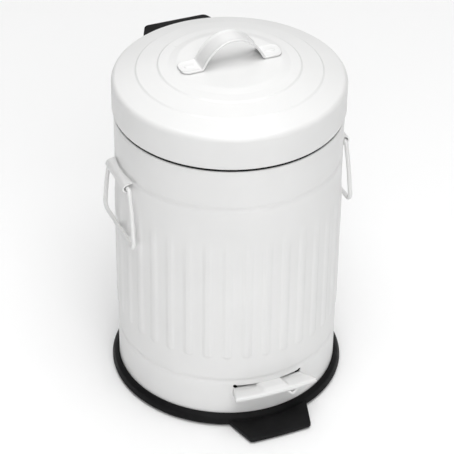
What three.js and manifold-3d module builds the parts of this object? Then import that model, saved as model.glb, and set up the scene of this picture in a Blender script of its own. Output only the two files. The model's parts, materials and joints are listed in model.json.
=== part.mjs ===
// Pedal trash can: round ribbed steel body on a plastic base, hinged lid with a strap
// handle, pedal lever and push rod, wire side handles, and a bucket inside.
// Millimetres, +Z up, pedal towards -Y, hinge towards +Y, floor at z = 0.
import * as THREE from 'three';
import * as BufferGeometryUtils from 'three/addons/utils/BufferGeometryUtils.js';
import Module from 'manifold-3d';

const wasm = await Module();
wasm.setup();

// Driving dimensions
const GAP = 0.3;
const BODY_R = 101;
const WALL = 1.2;
const BODY_BOTTOM = 4.3;
const BODY_TOP = 274;
const LOWER_GROOVE_Z = 48;
const UPPER_GROOVE_Z = 235;
const GROOVE_DEPTH = 1.0;
const RIB_COUNT = 36;
const RIB_HEIGHT = 1.0;
const RIB_LOW = 73;
const RIB_HIGH = 203;
const SLOT_WIDTH = 64;
const SLOT_LOW = 28.6;
const SLOT_HIGH = 42.4;

const RING_R = 107.7;
const RING_TOP = 11.5;
const TRAY_LOW = 1.5;
const TRAY_FLOOR = 4.0;
const TOE_FRONT = 131;

const LID_R = 102.5;
const LID_WALL = 1.0;
const SKIRT_LOW = 277;
const RIM_Z = 308;
const DISC_R = 46.4;
const DISC_Z = 322;

const STRAP_WIDTH = 20;
const STRAP_THICK = 1.4;
const STRAP_FOOT_X = 46.6;
const STRAP_ARCH_X = 28.5;
const STRAP_TOP = 347.5;
const HANDLE_RIVET_X = 37.5;
const LEAF_RIVET_X = 6.5;
const LEAF_RIVET_Z = 297;

const HINGE_Y = 116;
const HINGE_Z = 284;
const PIN_R = 2;
const LINK_DY = -9;
const LINK_DZ = -3;
const ROD_R = 2;
const ROD_X = 4.6;
const ROD_OUTER_Y = 107;
const ROD_INNER_Y = 95.8;
const ROD_LOW = 24;

const PIVOT_Y = -6;
const PIVOT_Z = 28;
const BASE_SCREW_Y = PIVOT_Y - 13;
const AXLE_R = 2.5;
const PEDAL_TOP = 46.4;
const PEDAL_FRONT = 120.5;
const PEDAL_HALF = 40;
const PEDAL_ROOT = 33.4;

const RIVET_X = 19;
const RIVET_Z = 262;
const SCREW_X = 33;
const COVER_REAR = 131;
const COVER_TOP = 293;
const COVER_LOW = 241;

const GRIP_X = 103.2;
const GRIP_Z = 228.3;
const GRIP_WIRE_R = 1.9;
const GRIP_DROP = 55.3;
const GRIP_LEAN = 0.9;
const GRIP_HOOD = 22;

const BUCKET_FLANGE_R = 100.9;
const BUCKET_TOP_R = 91.5;
const BUCKET_LOW_R = 85.5;
const BUCKET_LOW = 47.5;
const TUB_TOP = 274.2;
const FLANGE_LOW = 274.3;
const FLANGE_TOP = 276.6;
const BAIL_Z = 268;

// Solid helpers
function toSolid(geometry) {
  const bare = geometry.index ? geometry.toNonIndexed() : geometry.clone();
  bare.deleteAttribute('normal');
  bare.deleteAttribute('uv');
  const merged = BufferGeometryUtils.mergeVertices(bare, 1e-4);
  const mesh = new wasm.Mesh({
    numProp: 3,
    vertProperties: new Float32Array(merged.attributes.position.array),
    triVerts: new Uint32Array(merged.index.array),
  });
  return new wasm.Manifold(mesh);
}

function toGeometry(solid) {
  const mesh = solid.getMesh();
  const geometry = new THREE.BufferGeometry();
  geometry.setAttribute('position', new THREE.BufferAttribute(mesh.vertProperties, 3));
  geometry.setIndex(new THREE.BufferAttribute(mesh.triVerts, 1));
  const flat = geometry.toNonIndexed();
  flat.computeVertexNormals();
  return flat;
}

function unite(solids) {
  return solids.reduce((sum, solid) => sum.add(solid));
}

// A closed ring or disc turned from an (r, z) outline.
function turned(outline, segments, phase = 0) {
  const points = outline.map(([r, z]) => new THREE.Vector2(r, z));
  if (outline[0][0] > 0) {
    points.push(points[0].clone());
  }
  const geometry = new THREE.LatheGeometry(points, segments, phase, Math.PI * 2);
  geometry.rotateX(Math.PI / 2);
  const solid = toSolid(geometry);
  if (solid.volume() > 0) {
    return solid;
  }
  const flipped = new THREE.LatheGeometry(points.reverse(), segments, phase, Math.PI * 2);
  flipped.rotateX(Math.PI / 2);
  return toSolid(flipped);
}

// A cylinder between two points.
function bar(from, to, radius, segments = 14) {
  const start = new THREE.Vector3(...from);
  const along = new THREE.Vector3(...to).sub(start);
  const geometry = new THREE.CylinderGeometry(radius, radius, along.length(), segments);
  geometry.translate(0, along.length() / 2, 0);
  const turn = new THREE.Quaternion();
  turn.setFromUnitVectors(new THREE.Vector3(0, 1, 0), along.clone().normalize());
  geometry.applyQuaternion(turn);
  geometry.translate(start.x, start.y, start.z);
  return toSolid(geometry);
}

function block(low, high) {
  const size = high.map((value, i) => value - low[i]);
  const geometry = new THREE.BoxGeometry(...size);
  geometry.translate(...low.map((value, i) => value + size[i] / 2));
  return toSolid(geometry);
}

// Outline in (y, z) given a thickness along X from xLow to xHigh.
function sideCut(outline, xLow, xHigh) {
  const shape = new THREE.Shape(outline.map(([y, z]) => new THREE.Vector2(y, z)));
  const geometry = new THREE.ExtrudeGeometry(shape, { depth: xHigh - xLow, bevelEnabled: false });
  const place = new THREE.Matrix4().set(0, 0, 1, xLow, 1, 0, 0, 0, 0, 1, 0, 0, 0, 0, 0, 1);
  geometry.applyMatrix4(place);
  return toSolid(geometry);
}

// Outline in (x, z) given a thickness along Y from yLow to yHigh.
function frontCut(outline, yLow, yHigh) {
  const shape = new THREE.Shape(outline.map(([x, z]) => new THREE.Vector2(x, z)));
  const geometry = new THREE.ExtrudeGeometry(shape, { depth: yHigh - yLow, bevelEnabled: false });
  const place = new THREE.Matrix4().set(1, 0, 0, 0, 0, 0, -1, yHigh, 0, 1, 0, 0, 0, 0, 0, 1);
  geometry.applyMatrix4(place);
  return toSolid(geometry);
}

// Outline in (x, y) raised from zLow to zHigh.
function planCut(outline, zLow, zHigh) {
  const shape = new THREE.Shape(outline.map(([x, y]) => new THREE.Vector2(x, y)));
  const geometry = new THREE.ExtrudeGeometry(shape, { depth: zHigh - zLow, bevelEnabled: false });
  geometry.translate(0, 0, zLow);
  return toSolid(geometry);
}

// Points of a path with its inner corners rounded, to one radius or to one for each corner.
function rounded(points, radii, steps = 4) {
  const corners = points.map((point) => new THREE.Vector3(...point));
  const path = [corners[0]];
  for (let i = 1; i < corners.length - 1; i += 1) {
    const corner = corners[i];
    const back = corners[i - 1].clone().sub(corner).normalize();
    const ahead = corners[i + 1].clone().sub(corner).normalize();
    const half = back.angleTo(ahead) / 2;
    const radius = Array.isArray(radii) ? radii[i - 1] : radii;
    const reach = radius / Math.tan(half);
    const start = corner.clone().addScaledVector(back, reach);
    const end = corner.clone().addScaledVector(ahead, reach);
    const centre = corner.clone().addScaledVector(back.clone().add(ahead).normalize(), radius / Math.sin(half));
    for (let k = 0; k <= steps; k += 1) {
      const mix = start.clone().lerp(end, k / steps).sub(centre);
      path.push(centre.clone().addScaledVector(mix.normalize(), radius));
    }
  }
  path.push(corners[corners.length - 1]);
  return path;
}

// A round wire swept along a path that lies in one plane with the given normal.
function wire(path, radius, normal, segments = 8) {
  const across = new THREE.Vector3(...normal).normalize();
  const positions = [];
  const index = [];
  path.forEach((point, i) => {
    const before = path[Math.max(i - 1, 0)];
    const after = path[Math.min(i + 1, path.length - 1)];
    const into = point.clone().sub(before).normalize();
    const away = after.clone().sub(point).normalize();
    const along = into.clone().add(away).normalize();
    const inPlane = new THREE.Vector3().crossVectors(along, across).normalize();
    const stretch = i > 0 && i < path.length - 1 ? 1 / Math.max(along.dot(away), 0.5) : 1;
    for (let k = 0; k < segments; k += 1) {
      const angle = ((k + 0.5) / segments) * Math.PI * 2;
      const vertex = point.clone();
      vertex.addScaledVector(inPlane, radius * stretch * Math.cos(angle));
      vertex.addScaledVector(across, radius * Math.sin(angle));
      positions.push(vertex.x, vertex.y, vertex.z);
    }
  });
  const last = (path.length - 1) * segments;
  for (let i = 0; i < path.length - 1; i += 1) {
    for (let k = 0; k < segments; k += 1) {
      const a = i * segments + k;
      const b = i * segments + ((k + 1) % segments);
      index.push(a, b, b + segments, a, b + segments, a + segments);
    }
  }
  for (let k = 1; k < segments - 1; k += 1) {
    index.push(0, k + 1, k, last, last + k, last + k + 1);
  }
  const build = (order) => {
    const geometry = new THREE.BufferGeometry();
    geometry.setAttribute('position', new THREE.BufferAttribute(new Float32Array(positions), 3));
    geometry.setIndex(order);
    return toSolid(geometry);
  };
  const solid = build(index);
  return solid.volume() > 0 ? solid : build(index.slice().reverse());
}

function arcPoints(centreA, centreB, radius, fromDeg, toDeg, steps) {
  const points = [];
  for (let i = 0; i <= steps; i += 1) {
    const angle = THREE.MathUtils.degToRad(fromDeg + ((toDeg - fromDeg) * i) / steps);
    points.push([centreA + radius * Math.cos(angle), centreB + radius * Math.sin(angle)]);
  }
  return points;
}

function mirrored(solid) {
  return solid.mirror([1, 0, 0]);
}

// Opening at the back of the shell that the push rod leans out through.
function rodWindow() {
  return block([-1.5, BODY_R - 12, 243.5], [10.7, BODY_R + 8, 267.5]);
}

// Body
function bodyShell() {
  const inner = BODY_R - WALL;
  const groove = (z, wall) => [
    [wall, z - 3.4], [wall - GROOVE_DEPTH, z - 1], [wall - GROOVE_DEPTH, z + 1], [wall, z + 3.4],
  ];
  const outline = [
    [BODY_R, BODY_BOTTOM],
    ...groove(LOWER_GROOVE_Z, BODY_R),
    ...groove(UPPER_GROOVE_Z, BODY_R),
    [BODY_R, BODY_TOP - 1],
    [BODY_R - 1, BODY_TOP],
    [BODY_R - 4.4, BODY_TOP],
    [BODY_R - 4.4, BODY_TOP - 2.5],
    [inner, BODY_TOP - 2.5],
    ...groove(UPPER_GROOVE_Z, inner).reverse(),
    ...groove(LOWER_GROOVE_Z, inner).reverse(),
    [inner, BODY_BOTTOM],
  ];
  let shell = turned(outline, RIB_COUNT * 2);
  shell = unite([shell, ...bodyRibs()]);
  const slot = rounded(
    [[0, 0, SLOT_HIGH], [SLOT_WIDTH / 2, 0, SLOT_HIGH], [SLOT_WIDTH / 2, 0, SLOT_LOW], [0, 0, SLOT_LOW]],
    3,
  ).map((point) => [point.x, point.z]);
  const right = frontCut(slot, -BODY_R - 5, -BODY_R + 15);
  shell = shell.subtract(right).subtract(mirrored(right));
  shell = shell.subtract(rodWindow());
  [-1, 1].forEach((side) => {
    shell = shell.subtract(bar([side * RIVET_X, 90, RIVET_Z], [side * RIVET_X, 110, RIVET_Z], 1.7, 12));
    shell = shell.subtract(bar([side * SCREW_X, 85, RIVET_Z], [side * SCREW_X, 105, RIVET_Z], 1.8, 12));
  });
  return shell;
}

// Raised vertical ribs: a shallow frustum on every second facet of the shell.
function bodyRibs() {
  const pitch = (Math.PI * 2) / RIB_COUNT;
  const flat = BODY_R * Math.cos(pitch / 4);
  const half = BODY_R * Math.sin(pitch / 4) - 0.05;
  const ribs = [];
  for (let i = 0; i < RIB_COUNT; i += 1) {
    const corners = [];
    [[-0.5, half, 0], [RIB_HEIGHT, half - 1.6, 3]].forEach(([out, wide, inset]) => {
      [[-1, 0], [1, 0], [1, 1], [-1, 1]].forEach(([side, top]) => {
        const z = top ? RIB_HIGH - inset * 3 : RIB_LOW + inset;
        corners.push(side * wide, -(flat + out), z);
      });
    });
    const geometry = new THREE.BufferGeometry();
    geometry.setAttribute('position', new THREE.BufferAttribute(new Float32Array(corners), 3));
    geometry.setIndex([
      0, 2, 1, 0, 3, 2, 4, 5, 6, 4, 6, 7, 0, 1, 5, 0, 5, 4,
      1, 2, 6, 1, 6, 5, 2, 3, 7, 2, 7, 6, 3, 0, 4, 3, 4, 7,
    ]);
    geometry.rotateZ(i * pitch - pitch / 4);
    ribs.push(toSolid(geometry));
  }
  return ribs;
}

// Base
function baseTray() {
  const seat = BODY_R + GAP;
  const inside = BODY_R - WALL - GAP;
  const outline = [
    [0, TRAY_LOW],
    [RING_R - 1.2, TRAY_LOW],
    [RING_R, TRAY_LOW + 1.4],
    [RING_R - 2.2, 8],
    [seat + 0.8, RING_TOP],
    [seat, RING_TOP],
    [seat, TRAY_FLOOR],
    [inside, TRAY_FLOOR],
    [inside, 12],
    [inside - 2, 12],
    [inside - 2, TRAY_FLOOR],
    [0, TRAY_FLOOR],
  ];
  let tray = turned(outline, 60);
  const toe = rounded([[0, -TOE_FRONT, 0], [28.5, -TOE_FRONT, 0], [38, -98, 0], [0, -98, 0]], 4)
    .map((point) => [point.x, point.y]);
  const right = planCut(toe, TRAY_LOW, 6.5);
  const skin = turned([[0, 0.5], [BODY_R + 2.5, 0.5], [BODY_R + 2.5, 8], [0, 8]], 60);
  tray = unite([tray, right.subtract(skin), mirrored(right).subtract(skin)]);
  [-1, 1].forEach((side) => {
    const x = side * 8;
    tray = tray.add(bar([x, BASE_SCREW_Y, TRAY_FLOOR - 0.5], [x, BASE_SCREW_Y, TRAY_FLOOR], 3, 12));
    tray = tray.subtract(bar([x, BASE_SCREW_Y, 2.2], [x, BASE_SCREW_Y, 6], 1.5, 12));
  });
  return tray;
}

function footPad(index) {
  const angle = Math.PI / 4 + (index * Math.PI) / 2;
  const x = 88 * Math.cos(angle);
  const y = 88 * Math.sin(angle);
  const pad = turned([[0, 0], [9, 0], [10, TRAY_LOW - GAP], [0, TRAY_LOW - GAP]], 20);
  return pad.translate([x, y, 0]);
}

// Pedal pivot
function pivotBracket() {
  const floor = TRAY_FLOOR + GAP;
  let bracket = block([-17.5, PIVOT_Y - 19, floor], [17.5, PIVOT_Y + 14, floor + 2]);
  const ear = [
    [PIVOT_Y - 12, floor + 1],
    [PIVOT_Y + 12, floor + 1],
    ...arcPoints(PIVOT_Y, PIVOT_Z, 6.5, -10, 190, 8),
  ];
  [-1, 1].forEach((side) => {
    const low = side > 0 ? 15.5 : -17.5;
    bracket = bracket.add(sideCut(ear, low, low + 2));
    bracket = bracket.subtract(bar([side * 8, BASE_SCREW_Y, 0], [side * 8, BASE_SCREW_Y, 10], 1.6, 12));
  });
  return bracket.subtract(bar([-30, PIVOT_Y, PIVOT_Z], [30, PIVOT_Y, PIVOT_Z], AXLE_R + 0.06, 20));
}

function pedalAxle() {
  return bar([-21, PIVOT_Y, PIVOT_Z], [21, PIVOT_Y, PIVOT_Z], AXLE_R, 20);
}

function axleClip(side) {
  const low = side > 0 ? 17.8 : -19;
  const disc = bar([low, PIVOT_Y, PIVOT_Z], [low + 1.2, PIVOT_Y, PIVOT_Z], 5, 16);
  return disc.subtract(bar([low - 1, PIVOT_Y, PIVOT_Z], [low + 3, PIVOT_Y, PIVOT_Z], AXLE_R + 0.05, 20));
}

function bracketScrew(side) {
  const top = TRAY_FLOOR + GAP + 2.3;
  const head = bar([side * 8, BASE_SCREW_Y, top], [side * 8, BASE_SCREW_Y, top + 1.8], 3, 12);
  return head.add(bar([side * 8, BASE_SCREW_Y, 2.5], [side * 8, BASE_SCREW_Y, top + 0.5], 1.2, 12));
}

// Pedal and lever: one pressing. The pad narrows to pass the slot and runs to the rod.
function pedalLever() {
  const slim = 28;
  const slotTop = SLOT_HIGH - 1.2;
  const topLine = [
    [-PEDAL_FRONT, PEDAL_TOP],
    [-116, PEDAL_TOP - 0.8],
    [-102, slotTop],
    [-70, slotTop - 2.2],
    [-20, 35.5],
    [86, 29],
  ];
  const under = topLine.map(([y, z]) => [y, z - 1.6]).reverse();
  let plate = sideCut([...topLine, ...under], -PEDAL_HALF, PEDAL_HALF);
  const plan = rounded(
    [
      [0, -PEDAL_FRONT, 0], [20, -PEDAL_FRONT + 0.7, 0], [PEDAL_HALF - 0.6, -PEDAL_FRONT + 3, 0],
      [PEDAL_ROOT, -98, 0], [slim, -98, 0], [slim, -86, 0], [12.5, -40, 0], [12.5, 86, 0], [0, 86, 0],
    ],
    1.6,
  ).map((point) => [point.x, point.y]);
  const half = planCut(plan, 0, 60);
  plate = plate.intersect(unite([half, mirrored(half)]));
  const lip = planCut(
    [
      [0, -PEDAL_FRONT], [20, -PEDAL_FRONT + 0.7], [PEDAL_HALF - 3, -PEDAL_FRONT + 2.7],
      [PEDAL_HALF - 3.2, -PEDAL_FRONT + 4.1], [20, -PEDAL_FRONT + 2.1], [0, -PEDAL_FRONT + 1.4],
    ],
    PEDAL_TOP - 4.6,
    PEDAL_TOP - 0.9,
  );
  const skirtPlan = planCut(
    [
      [PEDAL_HALF - 0.9, -PEDAL_FRONT + 3.2], [PEDAL_ROOT - 0.2, -98],
      [PEDAL_ROOT - 1.6, -98], [PEDAL_HALF - 2.3, -PEDAL_FRONT + 3.2],
    ],
    20,
    60,
  );
  const skirtSide = [
    [-PEDAL_FRONT + 3.2, PEDAL_TOP - 1.2], [-PEDAL_FRONT + 3.2, PEDAL_TOP - 4.6], [-98, 30.7], [-98, 39.6],
  ];
  const skirt = skirtPlan.intersect(sideCut(skirtSide, 0, PEDAL_HALF + 5));
  const flange = [
    [-60, 38.4], [-20, 34.6], [10, 33.2], [84, 28.6],
    [84, 24.5], [30, 22.5], [-6, 21.3], [-24, 22.8], [-60, 33.5],
  ];
  const tab = [[80, 28.8], [98.5, 28.8], [98.5, 19.5], [88, 19.5], [80, 24]];
  let lever = unite([
    plate,
    lip,
    mirrored(lip),
    skirt,
    mirrored(skirt),
    sideCut(flange, 10.9, 12.5),
    sideCut(flange, -12.5, -10.9),
    sideCut(tab, -1.25, 1.25),
  ]);
  lever = lever.subtract(bar([-30, PIVOT_Y, PIVOT_Z], [30, PIVOT_Y, PIVOT_Z], AXLE_R + 0.06, 20));
  const eye = rounded(
    [[93.6, 0, ROD_LOW], [93.6, 0, ROD_LOW + 2.35], [98, 0, ROD_LOW + 2.35], [98, 0, ROD_LOW - 2.35],
      [93.6, 0, ROD_LOW - 2.35], [93.6, 0, ROD_LOW]],
    1.6,
    2,
  ).map((point) => [point.x, point.z]);
  return lever.subtract(sideCut(eye, -5, 5));
}

// Hinge
function hingeBracket() {
  const inner = BODY_R + GAP;
  const ring = turned([[inner, 250], [inner + 1.4, 250], [inner + 1.4, 271.5], [inner, 271.5]], 72);
  let bracket = ring.intersect(block([-24, 80, 240], [24, 120, 280]));
  const ear = [
    [BODY_R - 0.9, 251],
    [BODY_R + 3, 251],
    ...arcPoints(HINGE_Y, HINGE_Z, 5.4, -40, 145, 7),
    [BODY_R - 0.9, 271],
  ];
  const outside = turned([[inner, 240], [140, 240], [140, 300], [inner, 300]], 72);
  [-1, 1].forEach((side) => {
    const low = side > 0 ? 12.4 : -14;
    bracket = bracket.add(sideCut(ear, low, low + 1.6).intersect(outside));
    bracket = bracket.subtract(bar([side * RIVET_X, 90, RIVET_Z], [side * RIVET_X, 120, RIVET_Z], 1.7, 12));
  });
  bracket = bracket.subtract(rodWindow());
  return bracket.subtract(pinHole());
}

function pinHole() {
  return bar([-40, HINGE_Y, HINGE_Z], [40, HINGE_Y, HINGE_Z], PIN_R + 0.08, 20);
}

function hingePin() {
  const shaft = bar([-17, HINGE_Y, HINGE_Z], [17, HINGE_Y, HINGE_Z], PIN_R, 20);
  return shaft.add(bar([-18.4, HINGE_Y, HINGE_Z], [-16.2, HINGE_Y, HINGE_Z], 3.4, 16));
}

// A rivet along Y through the shell and the bracket: head outside, tail inside.
function bracketRivet(side) {
  const x = side * RIVET_X;
  const skin = Math.sqrt(BODY_R ** 2 - x ** 2);
  return unite([
    bar([x, skin - 5.5, RIVET_Z], [x, skin + 5, RIVET_Z], 1.4, 12),
    bar([x, skin + 2.9, RIVET_Z], [x, skin + 4.6, RIVET_Z], 3.2, 14),
    bar([x, skin - 5.5, RIVET_Z], [x, skin - 2.6, RIVET_Z], 2.6, 14),
  ]);
}

// Plan outline of the right half of the hinge cover, set in by a wall thickness.
function coverPlan(inset) {
  return rounded(
    [
      [0, COVER_REAR - inset, 0], [29.5 - inset, COVER_REAR - inset, 0],
      [43 - inset, 100, 0], [45 - inset, 84, 0], [0, 84, 0],
    ],
    [5.5, 8, 1],
    4,
  ).map((point) => [point.x, point.y]);
}

function hingeCover() {
  const half = (inset, low, high) => {
    const right = planCut(coverPlan(inset), low, high);
    return right.add(mirrored(right));
  };
  const skin = turned([[0, 200], [BODY_R + 0.5, 200], [BODY_R + 0.5, 276], [0, 276]], 72);
  const lidRoom = sideCut([[60, 275.9], [104.6, 275.9], [104.6, 291], [106.6, 300], [60, 300]], -60, 60);
  const bevel = sideCut([[128, COVER_TOP + 1], [COVER_REAR + 1, COVER_TOP + 1], [COVER_REAR + 1, 290]], -60, 60);
  const frontWall = block([-60, 104.6, 275.8], [60, 106.6, 291]);
  let cover = half(0, COVER_LOW, COVER_TOP).subtract(bevel);
  let hollow = half(2, COVER_LOW + 2, COVER_TOP - 2).subtract(frontWall);
  [-1, 1].forEach((side) => {
    hollow = hollow.subtract(bar([side * SCREW_X, 80, RIVET_Z], [side * SCREW_X, 130, RIVET_Z], 3.6, 14));
  });
  cover = cover.subtract(hollow).subtract(skin).subtract(lidRoom);
  cover = cover.subtract(block([-15.6, 100, 270], [15.6, 122, 295]));
  [-1, 1].forEach((side) => {
    cover = cover.subtract(bar([side * SCREW_X, 80, RIVET_Z], [side * SCREW_X, 112, RIVET_Z], 1.5, 12));
  });
  return cover;
}

function coverScrew(side) {
  const x = side * SCREW_X;
  const head = bar([x, 90.6, RIVET_Z], [x, 92.4, RIVET_Z], 3, 12);
  return head.add(bar([x, 92, RIVET_Z], [x, 110, RIVET_Z], 1.2, 12));
}

// Lid
function lidOutline() {
  const outer = [
    [DISC_R, DISC_Z],
    [DISC_R + 2.4, DISC_Z - 1.6],
    [61.2, 319.2],
    [63.8, 317.6],
    [80.2, 314.3],
    [82.8, 312.6],
    [LID_R - 5, RIM_Z],
    [LID_R - 1.6, RIM_Z - 1.8],
    [LID_R, RIM_Z - 6],
    [LID_R, SKIRT_LOW + 2],
    [LID_R - 0.5, SKIRT_LOW],
  ];
  const inner = [
    [LID_R - 0.5 - LID_WALL, SKIRT_LOW],
    [LID_R - LID_WALL, SKIRT_LOW + 2],
    [LID_R - LID_WALL, RIM_Z - 6.2],
    [LID_R - 2.4, RIM_Z - 2.6],
    [LID_R - 5.2, RIM_Z - 1.1],
    [82, 311.7],
    [63, 316.7],
    [DISC_R + 1, 319.4],
    [DISC_R - 0.6, DISC_Z - LID_WALL],
  ];
  return [[0, DISC_Z], ...outer, ...inner, [0, DISC_Z - LID_WALL]];
}

function lidShell() {
  let shell = turned(lidOutline(), 60);
  shell = shell.subtract(block([-12.6, 95, 270], [12.6, 110, 289.3]));
  [-1, 1].forEach((side) => {
    const x = side * LEAF_RIVET_X;
    shell = shell.subtract(bar([x, 90, LEAF_RIVET_Z], [x, 110, LEAF_RIVET_Z], 1.7, 12));
    shell = shell.subtract(bar([side * HANDLE_RIVET_X, 0, 310], [side * HANDLE_RIVET_X, 0, 330], 2.2, 14));
  });
  return shell;
}

// Strap handle: a flat band bent up into an arch between two feet.
function strapOutline(offset) {
  const foot = DISC_Z + GAP + offset;
  const rise = STRAP_TOP - STRAP_THICK + offset - foot;
  const right = [[STRAP_FOOT_X, foot], [STRAP_ARCH_X + 1.6 - offset * 0.6, foot]];
  const steps = 9;
  for (let i = 1; i <= steps; i += 1) {
    const angle = (i / steps) * Math.PI * 0.5;
    const reach = STRAP_ARCH_X - 1.2 + offset * 0.8;
    right.push([reach * Math.cos(angle), foot + rise * Math.sin(angle) ** 1.55]);
  }
  right[right.length - 1][0] = 0;
  const left = right.slice(0, -1).map(([x, z]) => [-x, z]).reverse();
  return [...right, ...left];
}

function lidHandle() {
  const top = strapOutline(STRAP_THICK);
  const under = strapOutline(0).reverse();
  let strap = frontCut([...top, ...under], -STRAP_WIDTH / 2, STRAP_WIDTH / 2);
  [-1, 1].forEach((side) => {
    strap = strap.subtract(bar([side * HANDLE_RIVET_X, 0, 310], [side * HANDLE_RIVET_X, 0, 330], 2.2, 14));
  });
  return strap;
}

function handleRivet(side) {
  const seat = DISC_Z + GAP + STRAP_THICK + 0.2;
  const rivet = unite([
    turned([[0, DISC_Z - 4], [1.9, DISC_Z - 4], [1.9, seat + 0.5], [0, seat + 0.5]], 14),
    turned([[0, seat], [4, seat], [3.2, seat + 0.9], [1.6, seat + 1.3], [0, seat + 1.4]], 14),
    turned([[0, DISC_Z - 4], [3, DISC_Z - 4], [3, DISC_Z - 1.3], [0, DISC_Z - 1.3]], 14),
  ]);
  return rivet.translate([side * HANDLE_RIVET_X, 0, 0]);
}

// Hinge leaf: curved flange inside the skirt, strap to the knuckle, web with the rod slot.
function lidLeaf() {
  const skirt = LID_R - LID_WALL - 0.4;
  const box = block([-11, 60, 286.5], [11, 120, 301.4]);
  const flange = turned([[skirt - 1.5, 286.5], [skirt, 286.5], [skirt, 304], [skirt - 1.5, 304]], 60);
  const strap = block([-11, 99.4, 286.7], [11, HINGE_Y, 288.2]);
  const knuckle = bar([-11, HINGE_Y, HINGE_Z], [11, HINGE_Y, HINGE_Z], 4.2, 20);
  const web = sideCut(
    [
      [HINGE_Y, 287], [105, 287.5], [103.2, 285], [102.6, 281],
      ...arcPoints(HINGE_Y - 9.98, HINGE_Z - 6.64, 3.7, 170, 300, 6),
      [HINGE_Y, 281],
    ],
    -1.25,
    1.25,
  );
  let leaf = unite([flange.intersect(box), strap, knuckle, web]);
  leaf = leaf.subtract(pinHole());
  leaf = leaf.subtract(linkSlot());
  [-1, 1].forEach((side) => {
    const x = side * LEAF_RIVET_X;
    leaf = leaf.subtract(bar([x, 90, LEAF_RIVET_Z], [x, 110, LEAF_RIVET_Z], 1.7, 12));
  });
  return leaf;
}

// Slot that the rod's hook slides in as the leaf turns, from its place when shut to when open.
function linkSlot() {
  const radius = ROD_R + 0.25;
  const shut = [HINGE_Y - 8.55, HINGE_Z - 3.2];
  const open = [HINGE_Y - 9.98, HINGE_Z - 6.64];
  const hole = ([y, z]) => bar([-5, y, z], [5, y, z], radius, 16);
  const run = Math.hypot(open[0] - shut[0], open[1] - shut[1]);
  const side = [((open[1] - shut[1]) / run) * radius, ((shut[0] - open[0]) / run) * radius];
  const straight = sideCut(
    [
      [shut[0] + side[0], shut[1] + side[1]], [open[0] + side[0], open[1] + side[1]],
      [open[0] - side[0], open[1] - side[1]], [shut[0] - side[0], shut[1] - side[1]],
    ],
    -5,
    5,
  );
  return unite([hole([HINGE_Y + LINK_DY, HINGE_Z + LINK_DZ]), hole(shut), hole(open), straight]);
}

function leafRivet(side) {
  const x = side * LEAF_RIVET_X;
  const skin = Math.sqrt(LID_R ** 2 - x ** 2);
  return unite([
    bar([x, skin - 5.6, LEAF_RIVET_Z], [x, skin + 1.6, LEAF_RIVET_Z], 1.4, 12),
    bar([x, skin + 0.35, LEAF_RIVET_Z], [x, skin + 1.8, LEAF_RIVET_Z], 3, 14),
    bar([x, skin - 5.6, LEAF_RIVET_Z], [x, skin - 3.4, LEAF_RIVET_Z], 2.5, 14),
  ]);
}

// Push rod: hooked into the lid leaf above and into the pedal lever below.
function pushRod() {
  const top = HINGE_Z + LINK_DZ;
  const path = rounded(
    [
      [ROD_X, ROD_OUTER_Y, top], [ROD_X, ROD_OUTER_Y, 258.5],
      [ROD_X, ROD_INNER_Y, 243], [ROD_X, ROD_INNER_Y, ROD_LOW],
    ],
    6,
    3,
  );
  const hook = (y, z) => bar([ROD_X + 0.6, y, z], [-3.2, y, z], ROD_R - 0.05, 16);
  return unite([
    wire(path, ROD_R, [1, 0, 0]),
    hook(ROD_OUTER_Y, top),
    hook(ROD_INNER_Y, ROD_LOW),
  ]);
}

// Guide block on the inside of the shell that keeps the rod upright.
function rodGuide(z) {
  const seat = BODY_R - WALL - GAP;
  const round = turned([[0, z - 10], [seat, z - 10], [seat, z + 10], [0, z + 10]], 72);
  const guide = block([-2, 93, z - 5], [11.2, 101, z + 5]).intersect(round);
  return guide.subtract(bar([ROD_X, ROD_INNER_Y, z - 20], [ROD_X, ROD_INNER_Y, z + 20], ROD_R + 0.25, 16));
}

// Side grips: a hooded strip rolled over a wire loop.
function gripBracket(side) {
  const outline = [
    [96, GRIP_Z + 5.2],
    [100, GRIP_Z + 5.1],
    ...arcPoints(GRIP_X, GRIP_Z, 4.6, 78, -110, 12),
    ...arcPoints(GRIP_X, GRIP_Z, 3.2, -110, 86, 12),
    [100, GRIP_Z + 3.5],
    [96, GRIP_Z + 3.6],
  ];
  const hood = frontCut(outline, -GRIP_HOOD, GRIP_HOOD);
  const shell = turned([[0, 200], [BODY_R + GAP, 200], [BODY_R + GAP, 260], [0, 260]], 72);
  const bracket = hood.subtract(shell);
  return side > 0 ? bracket : mirrored(bracket);
}

function wireHandle(side) {
  const half = [[1.5, GRIP_Z], [24.7, GRIP_Z], [31.2, GRIP_Z - 20], [38, GRIP_Z - GRIP_DROP]];
  const placed = half.map(([y, z]) => [side * (GRIP_X + (GRIP_LEAN * (GRIP_Z - z)) / GRIP_DROP), y, z]);
  const path = rounded([...placed, ...placed.map(([x, y, z]) => [x, -y, z]).reverse()], [3, 18, 6, 6, 18, 3], 3);
  return wire(path, GRIP_WIRE_R, [GRIP_DROP, 0, side * GRIP_LEAN]);
}

// Bucket
function innerBucket() {
  const outline = [
    [0, BUCKET_LOW],
    [BUCKET_LOW_R - 3, BUCKET_LOW],
    [BUCKET_LOW_R, BUCKET_LOW + 3],
    [BUCKET_TOP_R, 270],
    [BUCKET_TOP_R + 0.8, TUB_TOP],
    [BUCKET_TOP_R - 0.9, TUB_TOP],
    [BUCKET_TOP_R - 1.7, 270],
    [BUCKET_LOW_R - 1.7, BUCKET_LOW + 4],
    [BUCKET_LOW_R - 4, BUCKET_LOW + 2],
    [0, BUCKET_LOW + 2],
  ];
  return turned(outline, 48).subtract(bar([-100, 0, BAIL_Z], [100, 0, BAIL_Z], 1.85, 20));
}

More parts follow.
